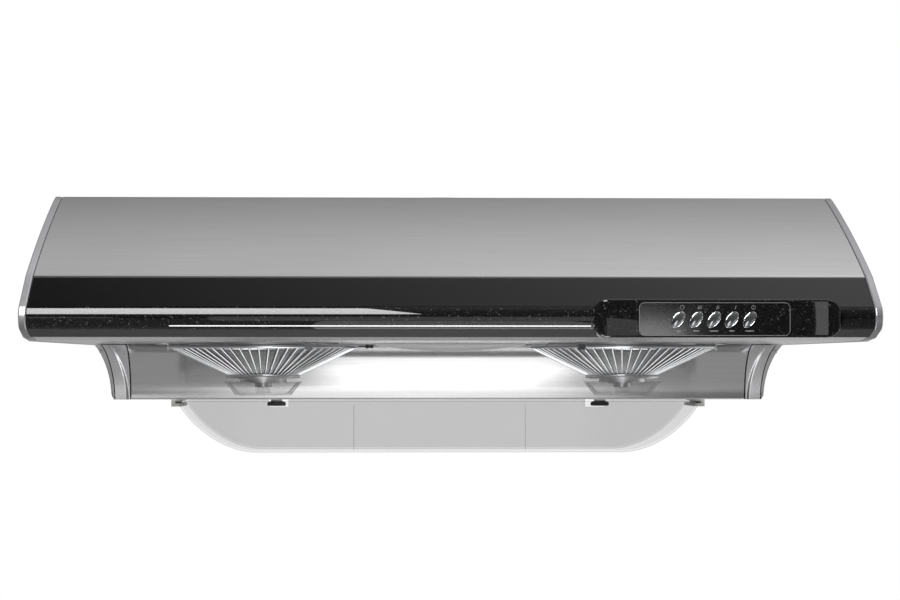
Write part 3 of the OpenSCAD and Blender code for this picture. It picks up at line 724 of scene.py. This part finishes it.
def make_shell():
    """The flat ceiling with its openings, its front lip, and the concave rear wall."""
    x_side, x_notch = X_IN - 1.2 * MM, WALL_X - 5 * MM
    y_front, y_edge, y_rear = CANOPY_EDGE.x, COVE_C.x + 1.5 * MM, Y_BACK - 1.1 * MM
    lip = [at(28.3, 2.7), at(36, 1.9), at(44, 1.3), at(52, 0.5), CANOPY_EDGE]
    front = prism("ceiling_lip", band(lip, SHEET), side_view, -x_side, x_side)
    outline = [(-x_side, y_front), (x_side, y_front), (x_side, y_rear), (x_notch, y_rear),
               (x_notch, y_edge), (-x_notch, y_edge), (-x_notch, y_rear), (-x_side, y_rear)]
    ceiling = prism("ceiling", outline, plan_view, Z_LOW, Z_LOW + SHEET)
    lens_lo, lens_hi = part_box("lamp_lens")
    openings = [arc(middle("inlet_ring_" + word), INLET_R, 0, 355, 71) for word in ("left", "right")]
    openings.append(rect(lens_lo.x + 6 * MM, lens_lo.y + 5 * MM, lens_hi.x - 6 * MM, lens_hi.y - 5 * MM))
    for opening in openings:
        cut(ceiling, prism("hole", opening, plan_view, Z_LOW - MM, Z_LOW + 3 * MM))
    cove = arc(COVE_C, DROP, 90, 0.6, 48)
    wall = prism("rear_wall", band(cove, SHEET), side_view, -WALL_X, WALL_X)
    shell = joined("shell_skin", [dressed(ceiling, CEILING), dressed(front, CEILING), dressed(wall, SHELL)])
    sharp_shading(shell, 30)
    finish_piece(shell, None, "hood", "lower_steel", "lower_shell")


def make_pan():
    """The bottom pan, its front edge folded back into a low hem, with two drain holes."""
    edge, back, half = COVE_C.x + DROP, Y_BACK - 0.2 * MM, WALL_X - 0.4 * MM
    hem = [Vector((back, Z_BOT + SHEET)), Vector((edge - 0.2 * MM, Z_BOT + SHEET))]
    hem += arc((edge - 1.1 * MM, Z_BOT + SHEET), 0.6 * MM, 0, 180, 8)
    hem += arc((edge - 0.9 * MM, Z_BOT + 0.8 * MM), 0.8 * MM, 180, 270, 6)
    pan = prism("pan_skin", hem + [Vector((back, Z_BOT))], side_view, -half, half)
    for x in SPOUTS:
        hole = arc((x, SPOUT_Y), 6.1 * MM, 0, 345, 23)
        cut(pan, prism("hole", hole, plan_view, Z_BOT - MM, Z_BOT + 2 * MM))
    sharp_shading(pan, 30)
    # The pan's pale colour is partly a painted highlight along its front edge.
    finish_piece(pan, PAN, "hood", "lower_steel", "bottom_pan")


def heights(steps):
    """Heights down the cove, at equal turns, from just under the canopy to the bottom edge."""
    return [Z_BOT + DROP * math.cos(math.radians(a)) for a in
            (9 + 81 * k / steps for k in range(steps + 1))]


def make_fairing(side, word):
    """A moulded corner of the underbody: a polished hollow by the steel wall, then a raised flat flank."""
    step_height, step_width, slope = 1.6 * MM, 2.6 * MM, 0.05
    steps = 24
    rings = []
    for z in heights(36):
        x0, crease, x1 = WALL_X + 1.4 * MM, flare(CREASE, z), flare(FAIRING_EDGE, z)
        front = []
        for k in range(steps + 1):
            x = x0 + (x1 - x0) * k / steps
            rise = min(max((x - crease) / step_width + 0.5, 0), 1)
            lift = step_height * rise * rise * (3 - 2 * rise) + slope * max(x - crease, 0)
            front.append((side * x, cove_y(z) - lift, z))
        rings.append(front + [(side * x1, CORNER_BACK, z), (side * x0, CORNER_BACK, z)])
    fairing = loft("fairing_%s_skin" % word, rings)
    sharp_shading(fairing, 38)
    finish_piece(fairing, FAIRING, "hood", "fairing", "side_fairing_" + word)


def make_trim(side, word):
    """The slim outer trim of a corner, rounded along its front edge and at its foot."""
    foot_r = 6 * MM
    rings = []
    for z in heights(36):
        x0, x1 = flare(TRIM_INSIDE, z), flare(TRIM_OUTSIDE, z)
        up = z - Z_BOT
        if up < foot_r:
            x1 -= foot_r - math.sqrt(foot_r ** 2 - (foot_r - up) ** 2)
            x1 = max(x1, x0 + 0.3 * MM)
        edge = min(2 * MM, (x1 - x0) * 0.5)
        front = cove_y(z) - 1.2 * MM
        ring = [(x0, front)] + [(p.x, p.y) for p in arc((x1 - edge, front + edge), edge, -90, 0, 6)]
        ring += [(x1, CORNER_BACK), (x0, CORNER_BACK)]
        rings.append([(side * x, y, z) for x, y in ring])
    trim = loft("corner_trim_%s_skin" % word, rings)
    sharp_shading(trim, 38)
    finish_piece(trim, FAIRING, "hood", "fairing", "corner_trim_" + word)


def make_corners():
    for side, word in ((-1, "left"), (1, "right")):
        make_fairing(side, word)
        make_trim(side, word)


# ---- Cones, clips and spouts ----

RING_R = (high("grille_left").x - low("grille_left").x) / 2
WIRES = 60
WIRE_R = 0.95 * MM
RING_WIRE_R = 1.3 * MM


def block(name, lo, hi):
    """A box with softened edges, from two corners."""
    return soften(prism(name, rect(lo[0], lo[1], hi[0], hi[1]), plan_view, lo[2], hi[2]), 0.35 * MM, 2)


def turned(name, profile, start):
    """A lathe piece that lies along X. The profile gives (radius, distance along X)."""
    piece = lathe(name, profile, (0, 0), 32)
    for vertex in piece.data.vertices:
        x, y, z = vertex.co
        vertex.co = Vector((z, y, x)) + start
    return piece


def make_grilles():
    """The two cones: straight wires between a large ring wire and a small one."""
    circle = [(math.cos(math.radians(a)) * RING_WIRE_R, math.sin(math.radians(a)) * RING_WIRE_R)
              for a in range(0, 360, 30)]
    for word in ("left", "right"):
        centre = middle("grille_" + word)
        top = (RING_R - RING_WIRE_R, high("grille_" + word).z - RING_WIRE_R)
        foot = (high("grille_plate_" + word).x - centre.x - RING_WIRE_R, low("grille_" + word).z + 2 * MM)
        rings = [lathe("ring", [(r + u, z + v) for u, v in circle], (centre.x, centre.y), closed=True)
                 for r, z in (top, foot)]
        bm = bmesh.new()
        for k in range(WIRES):
            turn = 2 * math.pi * k / WIRES
            start, end = (Vector((centre.x + r * math.cos(turn), centre.y + r * math.sin(turn), z))
                          for r, z in (top, foot))
            axis = end - start
            lie = Matrix.Translation((start + end) / 2) @ axis.to_track_quat("Z", "Y").to_matrix().to_4x4()
            bmesh.ops.create_cone(bm, cap_ends=True, segments=10, radius1=WIRE_R, radius2=WIRE_R,
                                  depth=axis.length, matrix=lie)
        grille = joined("grille_%s_skin" % word, rings + [from_bmesh("wires", bm)])
        sharp_shading(grille, 50)
        finish_piece(grille, WIRE, "cone_" + word, "wire", "grille_" + word)


def make_clips():
    """Three folded clips round each cone, and the small catch on its rod beside the left one."""
    parts = []
    half = 4 * MM
    for word in ("left", "right"):
        centre = middle("grille_" + word)
        for turn in (0, 120, 240):
            foot = block("foot", (RING_R + 0.8 * MM, -half, Z_LOW - 1.2 * MM),
                         (RING_R + 12 * MM, half, Z_LOW))
            hook = block("hook", (RING_R + 0.3 * MM, -half, Z_LOW - 7 * MM),
                         (RING_R + 1.3 * MM, half, Z_LOW))
            clip = joined("clip", [foot, hook])
            bake_modifiers(clip)
            angle = math.radians(turn if word == "right" else 180 - turn)
            for vertex in clip.data.vertices:
                x, y, z = vertex.co
                vertex.co = (centre.x + x * math.cos(angle) - y * math.sin(angle),
                             centre.y + x * math.sin(angle) + y * math.cos(angle), z)
            parts.append(clip)
    clips = joined("clips_skin", parts)
    sharp_shading(clips, 40)
    finish_piece(clips, CHROME, "hood", "wire", "grille_clips")
    start = Vector((high("grille_left").x + 0.6 * MM, middle("grille_left").y, Z_LOW - 3.3 * MM))
    rod = [(0, 0), (0.6, 0.2), (0.6, 6.9), (1.4, 7), (1.8, 7.6), (1.8, 10.2), (1.3, 10.9), (0.7, 11),
           (0.7, 11.3), (1.3, 11.4), (1.7, 12), (1.7, 14.4), (1.2, 15.1), (0, 15.1)]
    catch = turned("catch_skin", [(r * MM, x * MM) for r, x in rod], start)
    sharp_shading(catch, 50)
    finish_piece(catch, RUBBER, "hood", "rubber")


def make_spouts():
    """Two flanged rubber spouts under the pan, with necks coloured pale as a painted highlight."""
    disc = [(4, -5.5), (4.4, -7), (9, -7), (9.8, -6.2), (9.8, -4.1), (9.2, -3), (7, -2.3), (5.9, -2.2),
            (4, -2.3)]
    collar = [(4, 0.9), (8.6, 0.9), (9, 1.3), (9, 2.6), (8.6, 3), (6, 3), (6, 5), (4, 5)]
    neck = [(4, -2.1), (5.9, -2.1), (6, -1.9), (6, 1), (4, 1)]
    rubber, necks = [], []
    for x in SPOUTS:
        for store, profile in ((rubber, disc), (rubber, collar), (necks, neck)):
            ring = [(r * MM, Z_BOT + z * MM) for r, z in profile]
            store.append(lathe("ring", ring, (x, SPOUT_Y), 48, closed=True))
    finish_piece(sharp_shading(joined("spouts_skin", rubber), 40), RUBBER, "hood", "rubber", "drain_spouts")
    # The necks are coloured pale to paint in their highlight.
    finish_piece(sharp_shading(joined("spout_necks_painted_highlight", necks), 40), NYLON_AND_NECK_HIGHLIGHT, "hood", "rubber")


# ---- Cups, lens and tray ----

def make_cups():
    """The two clear cups, each with a stepped stem up its middle."""
    for word in ("left", "right"):
        lo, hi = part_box("oil_cup_" + word)
        centre = ((lo.x + hi.x) / 2, (lo.y + hi.y) / 2)
        base, stem_top = lo.z, hi.z
        rim = base + 13.5 * MM
        outer, floor_r, stem_r, wall = 38 * MM, 28.2 * MM, 6.5 * MM, 1.6 * MM
        profile = [(0, base + 0.6 * MM), (floor_r - 4 * MM, base + 0.6 * MM), (floor_r - 3 * MM, base)]
        profile += [(floor_r - 0.8 * MM, base), (floor_r, base + 0.8 * MM)]
        profile += [(outer - 1.2 * MM, rim - 1.8 * MM), (outer, rim - 1.6 * MM)]
        profile += [(outer, rim - 0.3 * MM), (outer - 0.3 * MM, rim)]
        profile += [(outer - wall - 0.8 * MM, rim), (outer - wall - 1.2 * MM, rim - 0.8 * MM)]
        profile += [(floor_r - wall, base + wall + 0.9 * MM), (floor_r - wall - 1.2 * MM, base + wall)]
        profile += [(stem_r + 1.1 * MM, base + wall), (stem_r, base + wall + 1 * MM)]
        profile += [(stem_r, stem_top - 7.2 * MM), (4 * MM, stem_top - 7 * MM)]
        profile += [(4 * MM, stem_top - 0.4 * MM), (3.6 * MM, stem_top), (0, stem_top)]
        cup = lathe("cup_%s_skin" % word, profile, centre, 128)
        sharp_shading(cup, 40)
        finish_piece(cup, CUP, "cup_" + word, "cup", "oil_cup_" + word)


def make_lens():
    """A shallow frosted dome on a low upright rim."""
    lo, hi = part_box("lamp_lens")
    cx, cy = (lo.x + hi.x) / 2, (lo.y + hi.y) / 2
    half_x, half_y, rim, bulge, wall = hi.x - cx, hi.y - cy, 2.4 * MM, 5.6 * MM, 1.8 * MM
    nu, nv = 72, 28
    bm = bmesh.new()

    def point(i, j, inset):
        u, v = math.sin(math.pi * (i / nu - 0.5)), math.sin(math.pi * (j / nv - 0.5))
        upright = math.sqrt((1 - abs(u) ** 60) * (1 - abs(v) ** 24))
        fall = upright * (rim - inset + bulge * (1 - u * u) * (1 - abs(v) ** 2.6))
        return (cx + u * (half_x - inset), cy + v * (half_y - inset), Z_LOW - 0.05 * MM - fall)

    grids = [[[bm.verts.new(point(i, j, inset)) for j in range(nv + 1)] for i in range(nu + 1)]
             for inset in (0, wall)]
    for grid in grids:
        for i in range(nu):
            for j in range(nv):
                bm.faces.new((grid[i][j], grid[i + 1][j], grid[i + 1][j + 1], grid[i][j + 1]))
    outer, inner = grids
    border = [(i, 0) for i in range(nu)] + [(nu, j) for j in range(nv)]
    border += [(i, nv) for i in range(nu, 0, -1)] + [(0, j) for j in range(nv, 0, -1)]
    for (i, j), (k, m) in zip(border, border[1:] + border[:1]):
        bm.faces.new((outer[i][j], outer[k][m], inner[k][m], inner[i][j]))
    lens = from_bmesh("lens_skin", bm)
    sharp_shading(lens, 45)
    finish_piece(lens, LENS, "hood", "lens", "lamp_lens")


TRAY_LO, TRAY_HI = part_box("oil_tray")
TRAY_X = TRAY_HI.x - 6 * MM
TRAY_END = 81 * MM


def tray_outline(inset, top):
    """The boat-shaped outline of the tray from the front, moved inwards by inset."""
    z0 = TRAY_LO.z
    rise = TRAY_HI.z - z0 - 6 * MM
    half = []
    for i in range(33):
        u = math.sin(math.radians(90 * i / 32))
        half.append(Vector((TRAY_X - TRAY_END * (1 - u), z0 + rise * (1 - (1 - u * u) ** 0.88))))
    full = [Vector((-p.x, p.y)) for p in half[::-1]] + half
    full = shifted(full, inset)
    return [Vector((full[0].x, top))] + full + [Vector((full[-1].x, top))]


def make_tray():
    """The clear tray, with a notch in its rear wall for each spout, two ribs and a lip at each end."""
    top, y0, y1 = TRAY_HI.z, TRAY_LO.y, TRAY_HI.y
    wall, clear, rib_x, half_rib = 2 * MM, 0.6 * MM, 90 * MM, 0.6 * MM
    outer = prism("tray_skin", tray_outline(0, top), front_view, y0, y1)
    soften(outer, 1.3 * MM, 4, 50)
    bake_modifiers(outer)
    inner = prism("hollow", tray_outline(wall, top + 5 * MM), front_view, y0 + wall, y1 - wall)
    bake_modifiers(inner)
    cut(outer, inner)
    for x in SPOUTS:
        notch = rect(x - SPOUT_R - clear, top - 8 * MM, x + SPOUT_R + clear, top + MM)
        cut(outer, prism("notch", notch, front_view, y1 - wall - MM, y1 + MM))
    parts = [outer]
    for x in (-rib_x, rib_x):
        rib = rect(x - half_rib, TRAY_LO.z + wall, x + half_rib, top - 4 * MM)
        parts.append(prism("rib", rib, front_view, y0 + wall, y0 + 5 * MM))
    for side in (-1, 1):
        lip = rect(side * (TRAY_X - MM), top - 3 * MM, side * TRAY_HI.x, top - MM)
        parts.append(prism("lip", lip, front_view, y0 + 3 * MM, y1 - 3 * MM))
    tray = joined("tray_skin", parts)
    sharp_shading(tray, 40)
    for material in (TRAY, TRAY_FRONT, TRAY_FLOOR, TRAY_RIM):
        tray.data.materials.append(material)
    for face in tray.data.polygons:
        if abs(face.normal.y) > 0.99:
            face.material_index = 1 if face.center.y < y0 + 3 * MM else 0
        else:
            face.material_index = 2 if abs(face.normal.y) < 0.1 else 3
    finish_piece(tray, None, "tray", "tray", "oil_tray")


# ---- Camera, light and floor ----

EYE = Vector((-66.8 * MM, Y_NOSE - 1997 * MM, Z_LOW - 22.7 * MM))


def make_camera():
    data = bpy.data.cameras.new("camera")
    data.lens = 92.33
    data.sensor_width = 36
    data.clip_end = 100
    camera = bpy.data.objects.new("camera", data)
    bpy.context.scene.collection.objects.link(camera)
    camera.location = EYE
    camera.rotation_euler = (math.radians(91.64), 0, math.radians(-1.8365))
    bpy.context.scene.camera = camera


def area_light(name, place, aim, size, radiance, roll=0):
    """A rectangular soft light of an even radiance, which the camera doesn't see."""
    data = bpy.data.lights.new(name, "AREA")
    data.shape = "RECTANGLE"
    data.size, data.size_y = size
    data.energy = radiance * math.pi * size[0] * size[1]
    light = bpy.data.objects.new(name, data)
    bpy.context.scene.collection.objects.link(light)
    light.location = place
    aim_turn = (Vector(aim) - Vector(place)).to_track_quat("-Z", "Y")
    light.rotation_mode = "QUATERNION"
    light.rotation_quaternion = aim_turn @ Quaternion((0, 0, 1), math.radians(roll))
    light.visible_camera = False
    return light


def only_on(light, *names):
    """Lets a light fall on these pieces alone."""
    lit = bpy.data.collections.new(light.name + "_on")
    for name in names:
        lit.objects.link(bpy.data.objects[name])
    light.light_linking.receiver_collection = lit


def world_ramp(tree, value, stops):
    """A grey ramp over the height of a direction, from -1 straight down to 1 straight up."""
    scale = tree.nodes.new("ShaderNodeMath")
    scale.operation = "MULTIPLY_ADD"
    scale.inputs[1].default_value = 0.5
    scale.inputs[2].default_value = 0.5
    tree.links.new(value, scale.inputs[0])
    node = tree.nodes.new("ShaderNodeValToRGB")
    while len(node.color_ramp.elements) < len(stops):
        node.color_ramp.elements.new(0.5)
    for element, (height, shade) in zip(node.color_ramp.elements, stops):
        element.position = 0.5 + height / 2
        element.color = (shade, shade, shade, 1)
    tree.links.new(scale.outputs["Value"], node.inputs["Fac"])
    return node.outputs["Color"]


def math_node(tree, operation, *values):
    node = tree.nodes.new("ShaderNodeMath")
    node.operation = operation
    for socket, value in zip(node.inputs, values):
        if isinstance(value, (int, float)):
            socket.default_value = value
        else:
            tree.links.new(value, socket)
    return node.outputs["Value"]


# The studio's walls as stops of (height, brightness): what stands behind the hood, and before it.
BEHIND = ((-1, 0.5), (-0.3, 0.6), (0.1, 0.6), (0.45, 0.3), (0.62, 0.34), (0.74, 0.85), (0.84, 1.2),
          (0.9, 0.9), (0.96, 0.5), (1, 0.5))
BEFORE = ((-1, 0.5), (-0.5, 0.16), (-0.1, 0.1), (0.2, 0.12), (0.7, 0.2), (1, 0.5))
# How much brighter each height gets towards the right.
TILT = ((-1, 0.1), (0.5, 0.16), (0.84, 0.1), (0.93, 1.0), (1, 1.0))


def make_world():
    world = bpy.data.worlds.new("studio")
    world.use_nodes = True
    tree = world.node_tree
    split = tree.nodes.new("ShaderNodeSeparateXYZ")
    coords = tree.nodes.new("ShaderNodeTexCoord")
    tree.links.new(coords.outputs["Generated"], split.inputs["Vector"])
    right, back, height = split.outputs
    side = math_node(tree, "MULTIPLY_ADD", back, 2.5, 0.5)
    share = math_node(tree, "MAXIMUM", math_node(tree, "MINIMUM", side, 1.0), 0.0)
    mix = tree.nodes.new("ShaderNodeMix")
    mix.data_type = "RGBA"
    tree.links.new(share, mix.inputs["Factor"])
    tree.links.new(world_ramp(tree, height, BEFORE), mix.inputs["A"])
    tree.links.new(world_ramp(tree, height, BEHIND), mix.inputs["B"])
    slope = math_node(tree, "MULTIPLY", world_ramp(tree, height, TILT), 5.0)
    gain = math_node(tree, "MAXIMUM", math_node(tree, "MULTIPLY_ADD", right, slope, 1.0), 0.15)
    studio = tree.nodes["Background"]
    tree.links.new(mix.outputs["Result"], studio.inputs["Color"])
    tree.links.new(math_node(tree, "MINIMUM", gain, 1.8), studio.inputs["Strength"])
    paper = tree.nodes.new("ShaderNodeBackground")
    paper.inputs["Color"].default_value = (1, 1, 1, 1)
    choice = tree.nodes.new("ShaderNodeMixShader")
    tree.links.new(tree.nodes.new("ShaderNodeLightPath").outputs["Is Camera Ray"], choice.inputs["Fac"])
    tree.links.new(studio.outputs["Background"], choice.inputs[1])
    tree.links.new(paper.outputs["Background"], choice.inputs[2])
    tree.links.new(choice.outputs["Shader"], tree.nodes["World Output"].inputs["Surface"])
    bpy.context.scene.world = world


def make_front_lights():
    """Lights for the shine on the front's gloss parts, each falling on those parts alone."""
    nose = Vector((0, Y_NOSE, Z_LOW + 20 * MM))
    softbox = area_light("softbox_left", nose + Vector((-0.37, -0.8, 0.89)), nose + Vector((-0.37, 0, 0)),
                         (0.66, 1.17), 24, roll=4)
    only_on(softbox, "bumper_skin", "pod_skin", "overlay_skin", "bezels_skin", "end_cap_left_skin",
            "end_cap_right_skin")
    line = area_light("line_below", nose + Vector((-0.062, -0.046, -0.358)), nose + Vector((-0.062, 0, 0)),
                      (0.43, 0.07), 48)
    only_on(line, "bumper_skin", "pod_skin")
    card = area_light("card_right", (0.441, -2.6, -0.104), (0.2, Y_NOSE, -0.12), (0.11, 0.02), 30, roll=-8)
    only_on(card, "overlay_skin")
    glow = area_light("glow_right", nose + Vector((0.537, -1.05, 0.05)), nose + Vector((0.32, 0, 0)),
                      (0.045, 0.5), 3)
    only_on(glow, "pod_skin")


def make_room_lights():
    """Lights for the cones and the caps alone, then three soft panels for the whole hood."""
    for word, x in (("left", -0.17), ("right", 0.175)):
        under = area_light("under_" + word, (x, 0.45, -0.85), (x, -0.1, Z_LOW), (0.15, 0.5), 4)
        only_on(under, "grille_%s_skin" % word)
    for side, word in ((-1, "left"), (1, "right")):
        wing = area_light("wing_" + word, (side * 2.2, -0.1, -0.1), (0, -0.1, -0.1), (1.8, 1.8), 1.0)
        only_on(wing, "end_cap_%s_skin" % word)
    area_light("panel_below", (0.035, -0.65, -0.95), (0.035, -0.6, 0), (0.36, 1.7), 2.4)
    area_light("panel_front", (0.02, -2.6, -0.75), (0.02, 0, -0.2), (0.8, 1.4), 1.5)
    area_light("panel_far_left", (-0.7, -2.6, -0.45), (-0.2, 0, -0.2), (0.3, 0.5), 1.2)


def make_floor():
    """A wide pale floor, far enough below to leave the underside in view."""
    bm = bmesh.new()
    bmesh.ops.create_grid(bm, x_segments=1, y_segments=1, size=15)
    floor = from_bmesh("floor", bm, smooth=False)
    floor.location = (0, 0, -5)
    floor.data.materials.append(moulded("pale_floor", (0.78, 0.78, 0.78), 0.6, grain=40, spread=0.01))


bpy.context.scene.view_settings.view_transform = "Standard"
make_camera()
dress_frame()
make_cover()
make_strip()
make_bumper()
make_end_caps()
make_pod()
make_overlay()
make_buttons()
make_shell()
make_pan()
make_corners()
make_grilles()
make_clips()
make_spouts()
make_cups()
make_lens()
make_tray()
make_world()
make_front_lights()
make_room_lights()
make_floor()
